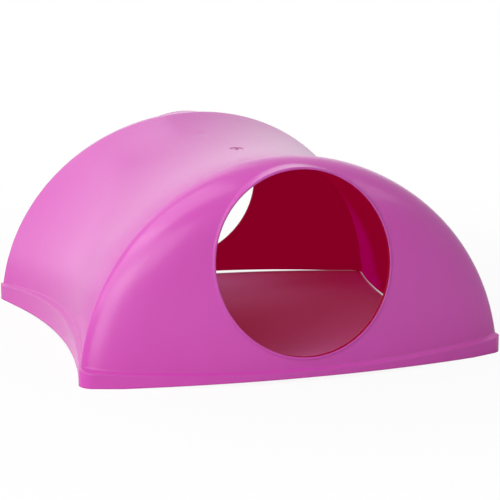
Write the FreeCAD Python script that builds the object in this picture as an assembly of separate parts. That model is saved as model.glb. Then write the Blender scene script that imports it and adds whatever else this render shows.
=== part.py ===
import FreeCAD, Part
import math
import os

# A moulded plastic tunnel house: one open-bottomed shell with a waisted roof, a leaning domed
# panel at each end and a round doorway in each panel.
# Millimetres. X runs across the arch, Y along the tunnel, Z up; the origin is on the floor
# under the middle of the shell.

os.makedirs("parts", exist_ok=True)

# Wall
WALL = 2.5

# End arches, where the roof meets the end panels
ARCH_WIDTH = 300.0
ARCH_HEIGHT = 142.0
ARCH_FOOT_Y = 135.7
SPRING_DEPTH = 6.1

# Waist of the roof, half way along the tunnel: how far it is tucked in on each side, and its dip
WAIST_TUCK = 17.6
WAIST_DIP = 11.9

# End panels: bulge at the floor, lean from the floor up, dome, and the roll back to the arch
PANEL_BULGE = 28.5
PANEL_LEAN = 13.5
PANEL_DOME = 14.1
ROLL_DEPTH = 29.0
ROLL_START = 0.8
ROLL_FADE = 2.7
ROLL_AT_FLOOR = 0.18
ROLL_ONSET = 2.0
ROLL_FULLNESS = 0.42

# Doorways
DOOR_DIAMETER = 122.5
DOOR_SILL = 15.0
LIP_WIDTH = 1.6
LIP_PROUD = 0.5
LIP_LAID_BACK = 0.2
LIP_START = 118.0
DOOR_START = 112.0

# Skirt round the base
SKIRT_PROUD = 2.2
SKIRT_HEIGHT_WAIST = 19.2
SKIRT_HEIGHT_FOOT = 11.2
SKIRT_CORNER_RADIUS = 11.0
SHOULDER_HEIGHT = 0.8
SHOULDER_RUN = 6.0
STEP_COVER = 4.5

# Raised edges between the four corner feet
END_RELIEF_HEIGHT = 2.3
END_RELIEF_SPAN = 250.0
SIDE_RELIEF_HEIGHT = 1.3
SIDE_RELIEF_SPAN = 210.0

# Gate mark on the roof
GATE_DIAMETER = 10.0
GATE_DEPTH = 0.3
GATE_NUB_DIAMETER = 2.5
GATE_NUB_HEIGHT = 0.3

# Spacing of the rows and columns that shape the surfaces
ANGLE_STEPS = 24
ROW_STEPS = 14
LAST_ROW_WIDTH = 0.5
FOOT_STEPS = 4
LIP_STEPS = 4
LIP_FACE_WIDTH = 0.5
LIP_FACE_HEIGHT = 1.1

# How far the blocks that trim the shell reach past it
CLEAR = 20.0

X_AXIS = FreeCAD.Vector(1, 0, 0)
Y_AXIS = FreeCAD.Vector(0, 1, 0)
Z_AXIS = FreeCAD.Vector(0, 0, 1)
ANGLES = [math.pi*i/ANGLE_STEPS for i in range(ANGLE_STEPS + 1)]
SHARES = [1 - (i/ROW_STEPS)**(1/ROLL_FULLNESS) for i in range(ROW_STEPS + 1)]
WAIST_WIDTH = ARCH_WIDTH - 2*WAIST_TUCK
WAIST_HEIGHT = ARCH_HEIGHT - WAIST_DIP
DOOR_RADIUS = DOOR_DIAMETER/2
DOOR_CENTRE_Z = DOOR_SILL + DOOR_RADIUS
REACH = ARCH_FOOT_Y + PANEL_BULGE + CLEAR
RISE = ARCH_HEIGHT + SPRING_DEPTH


def roll(share):
    """How far the panel has rolled back, from 0 on its face to 1 at the arch."""
    part = max(0.0, share - ROLL_START)/(1 - ROLL_START)
    return 1 - max(0.0, 1 - part**ROLL_ONSET)**ROLL_FULLNESS


def face_y(across, up):
    """How far along the tunnel the end panel's face stands, before it rolls back."""
    return ARCH_FOOT_Y + PANEL_BULGE*(1 - across**2) - PANEL_LEAN*up - PANEL_DOME*up**2


def panel_point(share, angle, inset, side):
    """Point of the end panel on one of its rows, from the arch (share 1) to a line on the floor."""
    across = (LAST_ROW_WIDTH + (1 - LAST_ROW_WIDTH)*share)*math.cos(angle)
    up = share*math.sin(angle)
    radius = math.hypot(across, up)
    height = (up/max(radius, up, 0.001))**ROLL_FADE
    back = ROLL_DEPTH*roll(radius)*(ROLL_AT_FLOOR + (1 - ROLL_AT_FLOOR)*height)
    y = side*(face_y(across, up) - back - inset)
    return FreeCAD.Vector((ARCH_WIDTH/2 - inset)*across, y, (RISE - inset)*up - SPRING_DEPTH)


def waist_point(angle, inset):
    """Point of the arch at the waist."""
    half = WAIST_WIDTH/2 - inset
    rise = WAIST_HEIGHT + SPRING_DEPTH - inset
    return FreeCAD.Vector(half*math.cos(angle), 0, rise*math.sin(angle) - SPRING_DEPTH)


def spline(points):
    curve = Part.BSplineCurve()
    curve.interpolate(Points=points, Parameters=[float(i) for i in range(len(points))])
    return curve


def skin(rows):
    """Smooth face through rows of points."""
    across = [spline(row) for row in rows]
    columns = [spline(list(column)) for column in zip(*[c.getPoles() for c in across])]
    surface = Part.BSplineSurface()
    surface.buildFromPolesMultsKnots(
        [c.getPoles() for c in columns],
        across[0].getMultiplicities(),
        columns[0].getMultiplicities(),
        across[0].getKnots(),
        columns[0].getKnots(),
        False,
        False,
        across[0].Degree,
        columns[0].Degree,
    )
    return surface.toShape()


def body(inset):
    """Closed solid of the whole form, shrunk on every side by the inset."""
    panels = []
    for side in (-1, 1):
        panels.append(skin([[panel_point(share, angle, inset, side) for angle in ANGLES] for share in SHARES]))
    ends = [[panel_point(1, angle, inset, side) for angle in ANGLES] for side in (-1, 1)]
    faces = panels + [skin([ends[0], [waist_point(angle, inset) for angle in ANGLES], ends[1]])]
    rim = [edge for face in faces for edge in face.Edges if lies_at(edge, -SPRING_DEPTH)]
    faces.append(Part.Face(Part.Wire(Part.__sortEdges__(rim))))
    shell = Part.makeCompound(faces)
    shell.sewShape()
    return Part.Solid(shell.Shells[0])


def lies_at(edge, level):
    box = edge.BoundBox
    return abs(box.ZMin - level) < 0.01 and abs(box.ZMax - level) < 0.01 and edge.Length > 1


def below_arc(low, high, span, along):
    """Everything under an arc this high in the middle and this low at the ends of its span."""
    rise = high - low
    radius = ((span/2)**2 + rise**2)/(2*rise)
    end = high - radius + math.sqrt(radius**2 - REACH**2)
    sideways = along.cross(Z_AXIS)*REACH
    start = -along*REACH
    left, right = start - sideways, start + sideways
    top = Part.Arc(left + Z_AXIS*end, start + Z_AXIS*high, right + Z_AXIS*end).toShape()
    sides = Part.makePolygon([right + Z_AXIS*end, right - Z_AXIS*REACH, left - Z_AXIS*REACH, left + Z_AXIS*end])
    return Part.Face(Part.Wire([top] + sides.Edges)).extrude(along*2*REACH)


def skirt_top(y):
    """Height of the line where the skirt's shoulder meets the wall."""
    return SKIRT_HEIGHT_WAIST - (SKIRT_HEIGHT_WAIST - SKIRT_HEIGHT_FOOT)*(y/ARCH_FOOT_Y)**2


def side_foot(part, side):
    """Point of the roof's foot, part of the way along the tunnel."""
    y = part*REACH
    x = WAIST_WIDTH/2 + (ARCH_WIDTH - WAIST_WIDTH)/2*(y/ARCH_FOOT_Y)**2
    return FreeCAD.Vector(side*x, y, skirt_top(y))


def end_foot(part, side):
    """Point of the end panel's foot, part of the way across."""
    x = part*REACH
    y = ARCH_FOOT_Y + PANEL_BULGE*(1 - (x/(ARCH_WIDTH/2))**2)
    return FreeCAD.Vector(x, side*y, skirt_top(y))


def foot_lines(foot):
    """Points of the two opposite foot lines."""
    return [[foot(i/FOOT_STEPS - 1, side) for i in range(2*FOOT_STEPS + 1)] for side in (-1, 1)]


def between_feet(foot, outward, inset):
    """Upright block between opposite foot lines."""
    lines = []
    for side, line in zip((-1, 1), foot_lines(foot)):
        lines.append(spline([FreeCAD.Vector(p.x, p.y, 0) - outward*side*inset for p in line]).toShape())
    return Part.makeRuledSurface(*lines).extrude(Z_AXIS*2*SKIRT_HEIGHT_WAIST)


def skirt_block(inset):
    """Upright block on the plan of the shell's foot, with rounded corners."""
    block = between_feet(side_foot, X_AXIS, inset).common(between_feet(end_foot, Y_AXIS, inset))
    corners = [edge for edge in block.Edges if is_upright(edge)]
    return block.makeFillet(SKIRT_CORNER_RADIUS - SKIRT_PROUD - inset, corners)


def is_upright(edge):
    box = edge.BoundBox
    return box.XLength < 0.1 and box.YLength < 0.1


def shoulder(foot, outward):
    """Everything under the two slopes that fall outwards through opposite foot lines."""
    slope = SHOULDER_HEIGHT/SKIRT_PROUD
    slabs = []
    for side, line in zip((-1, 1), foot_lines(foot)):
        inward = [abs(point.dot(outward)) for point in line]
        ridge = [p - outward*side*d + Z_AXIS*slope*d for p, d in zip(line, inward)]
        outer = [p + outward*side*SHOULDER_RUN - Z_AXIS*slope*SHOULDER_RUN for p in line]
        slope_face = Part.makeRuledSurface(spline(ridge).toShape(), spline(outer).toShape())
        slabs.append(slope_face.extrude(-Z_AXIS*2*REACH))
    return slabs[0].fuse(slabs[1])


def door_plugs(radius, start):
    """Cylinder out of each doorway, from this far along the tunnel."""
    centre = Z_AXIS*DOOR_CENTRE_Z
    return [Part.makeCylinder(radius, REACH - start, centre + a*start, a) for a in (-Y_AXIS, Y_AXIS)]


def lip_block():
    """Everything between the two gently domed faces that the doorway lips end on."""
    ends = []
    for side in (-1, 1):
        rows = []
        for i in range(LIP_STEPS + 1):
            up = LIP_FACE_HEIGHT*i/LIP_STEPS
            row = []
            for j in range(-LIP_STEPS, LIP_STEPS + 1):
                across = LIP_FACE_WIDTH*j/LIP_STEPS
                y = side*(face_y(across, up) + LIP_PROUD - LIP_LAID_BACK*up**2)
                row.append(FreeCAD.Vector(ARCH_WIDTH/2*across, y, RISE*up - SPRING_DEPTH))
            rows.append(row)
        ends.append(skin(rows).extrude(-Y_AXIS*side*REACH))
    return ends[0].fuse(ends[1])


outside = body(0)
lips = [plug.common(lip_block()) for plug in door_plugs(DOOR_RADIUS + LIP_WIDTH, LIP_START)]
band = skirt_block(-SKIRT_PROUD).common(shoulder(side_foot, X_AXIS)).common(shoulder(end_foot, Y_AXIS))
cavity = body(WALL)
step_top = below_arc(SKIRT_HEIGHT_FOOT - STEP_COVER, SKIRT_HEIGHT_WAIST - STEP_COVER, 2*ARCH_FOOT_Y, X_AXIS)
step = skirt_block(WALL - SKIRT_PROUD).common(step_top)
underside = Part.makeBox(2*REACH, 2*REACH, SPRING_DEPTH + 1, FreeCAD.Vector(-REACH, -REACH, -SPRING_DEPTH - 1))
end_relief = below_arc(0, END_RELIEF_HEIGHT, END_RELIEF_SPAN, Y_AXIS)
side_relief = below_arc(0, SIDE_RELIEF_HEIGHT, SIDE_RELIEF_SPAN, X_AXIS)
gate = Part.makeCylinder(GATE_DIAMETER/2, CLEAR, FreeCAD.Vector(0, 0, WAIST_HEIGHT - GATE_DEPTH))
nub = Part.makeCylinder(GATE_NUB_DIAMETER/2, GATE_DEPTH + GATE_NUB_HEIGHT + WALL/2)
nub.translate(FreeCAD.Vector(0, 0, WAIST_HEIGHT - GATE_DEPTH - WALL/2))

shell = outside.fuse(lips + [band])
shell = shell.cut([cavity, step, underside, end_relief, side_relief, gate] + door_plugs(DOOR_RADIUS, DOOR_START))
shell = shell.fuse(nub)
shell.exportStep("parts/shell.step")
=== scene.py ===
import math

import bmesh
import bpy
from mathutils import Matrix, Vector

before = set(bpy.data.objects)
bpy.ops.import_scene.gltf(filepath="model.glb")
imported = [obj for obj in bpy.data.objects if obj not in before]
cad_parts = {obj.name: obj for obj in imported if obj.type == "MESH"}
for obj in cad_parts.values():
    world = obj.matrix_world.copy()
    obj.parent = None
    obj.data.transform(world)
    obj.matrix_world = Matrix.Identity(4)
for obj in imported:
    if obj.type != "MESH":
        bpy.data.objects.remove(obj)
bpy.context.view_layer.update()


# The shell: roof, end panels, doorway lips and skirt are one injection moulding in a glossy
# orchid plastic that lets a little light through. The light that gets inside has passed through
# the wall and bounced from wall to wall; the inside's crimson colour and glow are painted in for it.
OUTSIDE_PINK = (0.61, 0.086, 0.468, 1.0)
OUTSIDE_DEEP_AND_SHADE = (0.59, 0.05, 0.415, 1.0)
FLOW_SCALE = 9.0
# The share of painted shade at the foot, and the heights between which it comes in.
SHADE_SHARE = 0.7
SHADE_TOP = 0.06
SHADE_FOOT = 0.01

GLOSS = 0.2
GLOSS_WORN = 0.25
WEAR_SCALE = 25.0
GRAIN_SCALE = 60.0
GRAIN_STRENGTH = 0.2
GRAIN_DEPTH = 0.00002
RIDGE_ROUNDING = 0.0016
PLASTIC_IOR = 1.5

# Inside: a painted crimson shade as the colour, and a painted crimson glow for the light through the
# wall.
PAINTED_INSIDE_CRIMSON = (0.13, 0.0, 0.012, 1.0)
INSIDE_ROUGHNESS = 0.35
INSIDE_IOR = 1.05
PAINTED_GLOW_CRIMSON = (0.2, 0.0, 0.016, 1.0)
PAINTED_GLOW_MAGENTA = (0.26, 0.0, 0.065, 1.0)
CAVITY_CENTRE = (0.0, 0.0, 0.04)

# Inside, roof and end panel meet in a crease, this far along the tunnel at the floor and nearer
# the middle higher up. The painted glow turns magenta low on the roof's side, within reach of the
# crease: a painted highlight on the rounding there.
CREASE_AT_FLOOR = 0.1275
CREASE_LEAN = 0.045
CREASE_CURVE = 0.76
CORNER_REACH = 0.085
CORNER_FULL = 0.055
CORNER_TOP = 0.09
CORNER_FOOT = 0.04


class Socket:
    """A shader value that can be used in sums."""

    def __init__(self, look, link):
        self.look = look
        self.link = link

    def maths(self, operation, first, second):
        return self.look.node("ShaderNodeMath", {"operation": operation}, {0: first, 1: second})

    def __add__(self, other):
        return self.maths("ADD", self, other)

    def __radd__(self, other):
        return self.maths("ADD", other, self)

    def __sub__(self, other):
        return self.maths("SUBTRACT", self, other)

    def __rsub__(self, other):
        return self.maths("SUBTRACT", other, self)

    def __mul__(self, other):
        return self.maths("MULTIPLY", self, other)

    def __rmul__(self, other):
        return self.maths("MULTIPLY", other, self)

    def __pow__(self, other):
        return self.maths("POWER", self, other)

    def __rpow__(self, other):
        return self.maths("POWER", other, self)

    def __gt__(self, other):
        return self.maths("GREATER_THAN", self, other)

    def __lt__(self, other):
        return self.maths("LESS_THAN", self, other)

    def __abs__(self):
        return self.maths("ABSOLUTE", self, 0.0)


class Look:
    """The look of a material or of the world, built from nodes."""

    def __init__(self, owner):
        owner.use_nodes = True
        self.tree = owner.node_tree
        self.tree.nodes.clear()

    def node(self, kind, settings, inputs, output=0):
        made = self.tree.nodes.new(kind)
        for key, value in settings.items():
            setattr(made, key, value)
        for key, value in inputs.items():
            if isinstance(value, Socket):
                self.tree.links.new(value.link, made.inputs[key])
            else:
                made.inputs[key].default_value = value
        return Socket(self, made.outputs[output]) if made.outputs else None

    def blend(self, share, first, second):
        """The first colour where the share is 0, the second where it is 1."""
        colours = {"Factor": share, 6: first, 7: second}
        return self.node("ShaderNodeMix", {"data_type": "RGBA"}, colours, 2)

    def ramp(self, value, start, end):
        """0 at the start value and before it, 1 at the end value and past it, smooth between."""
        reach = {"Value": value, "From Min": start, "From Max": end}
        return self.node("ShaderNodeMapRange", {"interpolation_type": "SMOOTHSTEP"}, reach)

    def largest(self, first, second):
        return self.node("ShaderNodeMath", {"operation": "MAXIMUM"}, {0: first, 1: second})

    def noise(self, place, scale, detail):
        return self.node("ShaderNodeTexNoise", {}, {"Vector": place, "Scale": scale, "Detail": detail})


def outside_of_wall(look, place):
    """1 on faces that look away from the middle of the cavity, 0 on the others."""
    facing = look.node("ShaderNodeNewGeometry", {}, {}, "True Normal")
    spread = {0: place, 1: CAVITY_CENTRE}
    from_centre = look.node("ShaderNodeVectorMath", {"operation": "SUBTRACT"}, spread)
    along = {0: from_centre, 1: facing}
    outward = look.node("ShaderNodeVectorMath", {"operation": "DOT_PRODUCT"}, along, "Value")
    return outward > 0.0


def orchid_plastic():
    """Glossy moulded plastic, orchid outside, with painted crimson shade and a painted crimson glow
    inside.
    """
    material = bpy.data.materials.new("orchid_plastic")
    look = Look(material)
    place = look.node("ShaderNodeTexCoord", {}, {}, "Object")
    y, z = [look.node("ShaderNodeSeparateXYZ", {}, {"Vector": place}, axis) for axis in "YZ"]

    pink = look.blend(look.noise(place, FLOW_SCALE, 3.0), OUTSIDE_PINK, OUTSIDE_DEEP_AND_SHADE)
    # Painted shade: the outside turns to the deeper pink towards the foot of the shell.
    pink = look.blend(look.ramp(z, SHADE_TOP, SHADE_FOOT) * SHADE_SHARE, pink, OUTSIDE_DEEP_AND_SHADE)
    worn = {"Value": look.noise(place, WEAR_SCALE, 4.0), "To Min": GLOSS, "To Max": GLOSS_WORN}
    roughness = look.node("ShaderNodeMapRange", {}, worn)
    rounded = look.node("ShaderNodeBevel", {"samples": 6}, {"Radius": RIDGE_ROUNDING})
    bump = look.node("ShaderNodeBump", {}, {
        "Height": look.noise(place, GRAIN_SCALE, 2.0),
        "Strength": GRAIN_STRENGTH,
        "Distance": GRAIN_DEPTH,
        "Normal": rounded,
    })
    outer = look.node("ShaderNodeBsdfPrincipled", {}, {
        "Base Color": pink,
        "Roughness": roughness,
        "IOR": PLASTIC_IOR,
        "Normal": bump,
    })

    # Painted highlight: the glow turns magenta near the crease, low on the roof's side.
    past_crease = abs(y) + z * CREASE_LEAN + (z ** 2.0) * CREASE_CURVE - CREASE_AT_FLOOR
    near_crease = look.ramp(past_crease, -CORNER_REACH, -CORNER_FULL) * (past_crease < 0.0)
    painted_corner_light = near_crease * look.ramp(z, CORNER_TOP, CORNER_FOOT)
    # The inside faces: painted crimson shade and a painted glow standing in for light through the
    # wall.
    painted_inside = look.node("ShaderNodeBsdfPrincipled", {}, {
        "Base Color": PAINTED_INSIDE_CRIMSON,
        "Roughness": INSIDE_ROUGHNESS,
        "IOR": INSIDE_IOR,
        "Normal": bump,
        "Emission Color": look.blend(painted_corner_light, PAINTED_GLOW_CRIMSON, PAINTED_GLOW_MAGENTA),
        "Emission Strength": 1.0,
    })

    wall = {0: outside_of_wall(look, place), 1: painted_inside, 2: outer}
    skin = look.node("ShaderNodeMixShader", {}, wall)
    look.node("ShaderNodeOutputMaterial", {}, {"Surface": skin})
    return material


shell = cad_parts["shell"]
plastic = orchid_plastic()
for slot in shell.material_slots:
    slot.material = plastic


# The floor: a plain white sheet that keeps the shell's shadow. Outside the shell the camera sees
# it blown out to the white of the background. Under the shell it isn't, and a pink tint is painted
# on it there for the light that comes through the plastic.
FLOOR_REACH = 6.0
WHITE = (1.0, 1.0, 1.0, 1.0)
FLOOR_WHITE = (0.9, 0.9, 0.9, 1.0)
FLOOR_PAINTED_TINT = (0.95, 0.3, 0.75, 1.0)
FLOOR_ROUGHNESS = 0.9

# The shell's outline on the floor: half widths at its middle, and how the edges curve from there.
# Under the raised front edge daylight reaches in as far as the front light line.
SIDE_LINE = 0.1325
SIDE_CURVE = 0.956
END_LINE = 0.1642
END_CURVE = 1.267
FRONT_LIGHT_LINE = 0.1502
LINE_BLUR = 0.004

# The share of white close to the shell, and the distances from its middle between which the
# floor turns fully white, and between which reflections come to show it white
BLOWN_NEAR = 0.9
BLOWN_START = 0.2
BLOWN_END = 0.6
MIRROR_START = 0.3
MIRROR_END = 0.9


def past_line(look, value, line):
    return look.ramp(value, line - LINE_BLUR/2, line + LINE_BLUR/2)


def floor_paper():
    """White paper, blown out outside the shell, with a painted tint of light under it."""
    material = bpy.data.materials.new("floor_paper")
    look = Look(material)
    place = look.node("ShaderNodeTexCoord", {}, {}, "Object")
    x, y = [look.node("ShaderNodeSeparateXYZ", {}, {"Vector": place}, axis) for axis in "XY"]
    beside = past_line(look, abs(x) - (y ** 2.0) * SIDE_CURVE, SIDE_LINE)
    beyond = past_line(look, abs(y) + (x ** 2.0) * END_CURVE, END_LINE)
    under_front_edge = past_line(look, (x ** 2.0) * END_CURVE - y, FRONT_LIGHT_LINE)
    open_floor = look.largest(look.largest(beside, beyond), under_front_edge)
    # Painted light: a pink tint under the shell for the light that comes through the plastic.
    painted_tint = look.blend(open_floor, FLOOR_PAINTED_TINT, FLOOR_WHITE)
    paper = {"Base Color": painted_tint, "Roughness": FLOOR_ROUGHNESS}
    sheet = look.node("ShaderNodeBsdfPrincipled", {}, paper)

    away = look.node("ShaderNodeVectorMath", {"operation": "LENGTH"}, {0: place}, "Value")
    camera_ray = look.node("ShaderNodeLightPath", {}, {}, "Is Camera Ray")
    mirror_ray = look.node("ShaderNodeLightPath", {}, {}, "Is Glossy Ray")
    seen = look.largest(camera_ray, mirror_ray * look.ramp(away, MIRROR_START, MIRROR_END))
    blown = look.ramp(away, BLOWN_START, BLOWN_END) * (1.0 - BLOWN_NEAR) + BLOWN_NEAR
    white = look.node("ShaderNodeEmission", {}, {"Color": WHITE, "Strength": 1.0})
    surface = look.node("ShaderNodeMixShader", {}, {0: seen * open_floor * blown, 1: sheet, 2: white})
    look.node("ShaderNodeOutputMaterial", {}, {"Surface": surface})
    return material


floor_mesh = bmesh.new()
bmesh.ops.create_grid(floor_mesh, x_segments=1, y_segments=1, size=FLOOR_REACH)
floor_data = bpy.data.meshes.new("floor")
floor_mesh.to_mesh(floor_data)
floor_mesh.free()
floor_data.materials.append(floor_paper())
floor = bpy.data.objects.new("floor", floor_data)
bpy.context.scene.collection.objects.link(floor)


# The studio: soft boxes above and all round, the brightest to the left, and a plain world that
# lights the shell weakly and that the camera and reflections see as white.
ROOM_LIGHT = 0.2


def softbox(name, place, width, height, power):
    """Lamp at this place, turned towards the shell, with its size in metres and power in watts."""
    light = bpy.data.lights.new(name, "AREA")
    light.shape = "RECTANGLE"
    light.size = width
    light.size_y = height
    light.energy = power
    lamp = bpy.data.objects.new(name, light)
    bpy.context.scene.collection.objects.link(lamp)
    lamp.location = place
    lamp.rotation_euler = Vector(place).to_track_quat("Z", "Y").to_euler()
    lamp.visible_camera = False


softbox("top_softbox", (-0.75, -0.1, 1.5), 1.2, 1.2, 9.3)
softbox("left_softbox", (-1.54, -0.56, 1.15), 1.3, 1.3, 14.0)
softbox("left_front_softbox", (-1.5, -1.5, 0.6), 0.6, 1.1, 6.8)
softbox("front_softbox", (-1.29, -1.84, 1.3), 1.0, 1.0, 6.5)
softbox("right_softbox", (1.1, -0.64, 1.5), 1.0, 1.0, 3.5)
softbox("back_left_softbox", (-1.8, 2.0, 0.9), 2.6, 1.8, 7.6)
softbox("back_high_softbox", (-0.5, 1.6, 1.7), 1.8, 1.0, 3.6)
softbox("back_softbox", (0.8, 3.0, 0.9), 3.5, 1.4, 3.0)

world = bpy.data.worlds.new("studio")
bpy.context.scene.world = world
studio = Look(world)
room = studio.node("ShaderNodeBackground", {}, {"Color": WHITE, "Strength": ROOM_LIGHT})
backdrop = studio.node("ShaderNodeBackground", {}, {"Color": WHITE, "Strength": 1.0})
shown = studio.largest(
    studio.node("ShaderNodeLightPath", {}, {}, "Is Camera Ray"),
    studio.node("ShaderNodeLightPath", {}, {}, "Is Glossy Ray"),
)
surroundings = studio.node("ShaderNodeMixShader", {}, {0: shown, 1: room, 2: backdrop})
studio.node("ShaderNodeOutputWorld", {}, {"Surface": surroundings})
bpy.context.scene.view_settings.view_transform = "Standard"


# The camera: to the left of the front, a little above, fitted to the photograph. Its focal
# length and the centre of its view are in pixels of the photograph.
CAMERA_AZIMUTH = math.radians(-18.538)
CAMERA_ELEVATION = math.radians(12.135)
CAMERA_DISTANCE = 1.50937
CAMERA_TARGET = (0.026296, 0.0, 0.051995)
SENSOR = 36.0
PHOTO_PIXELS = 500
FOCAL_PIXELS = 2045.083
VIEW_CENTRE_X = 270.869
VIEW_CENTRE_Y = 251.349

camera_data = bpy.data.cameras.new("camera")
camera = bpy.data.objects.new("camera", camera_data)
bpy.context.scene.collection.objects.link(camera)
bpy.context.scene.camera = camera
camera_data.sensor_width = SENSOR
camera_data.lens = SENSOR*FOCAL_PIXELS/PHOTO_PIXELS
camera_data.shift_x = (PHOTO_PIXELS/2 - VIEW_CENTRE_X)/PHOTO_PIXELS
camera_data.shift_y = (VIEW_CENTRE_Y - PHOTO_PIXELS/2)/PHOTO_PIXELS
away = Vector((
    math.sin(CAMERA_AZIMUTH)*math.cos(CAMERA_ELEVATION),
    -math.cos(CAMERA_AZIMUTH)*math.cos(CAMERA_ELEVATION),
    math.sin(CAMERA_ELEVATION),
))
camera.location = Vector(CAMERA_TARGET) + away*CAMERA_DISTANCE
camera.rotation_euler = away.to_track_quat("Z", "Y").to_euler()
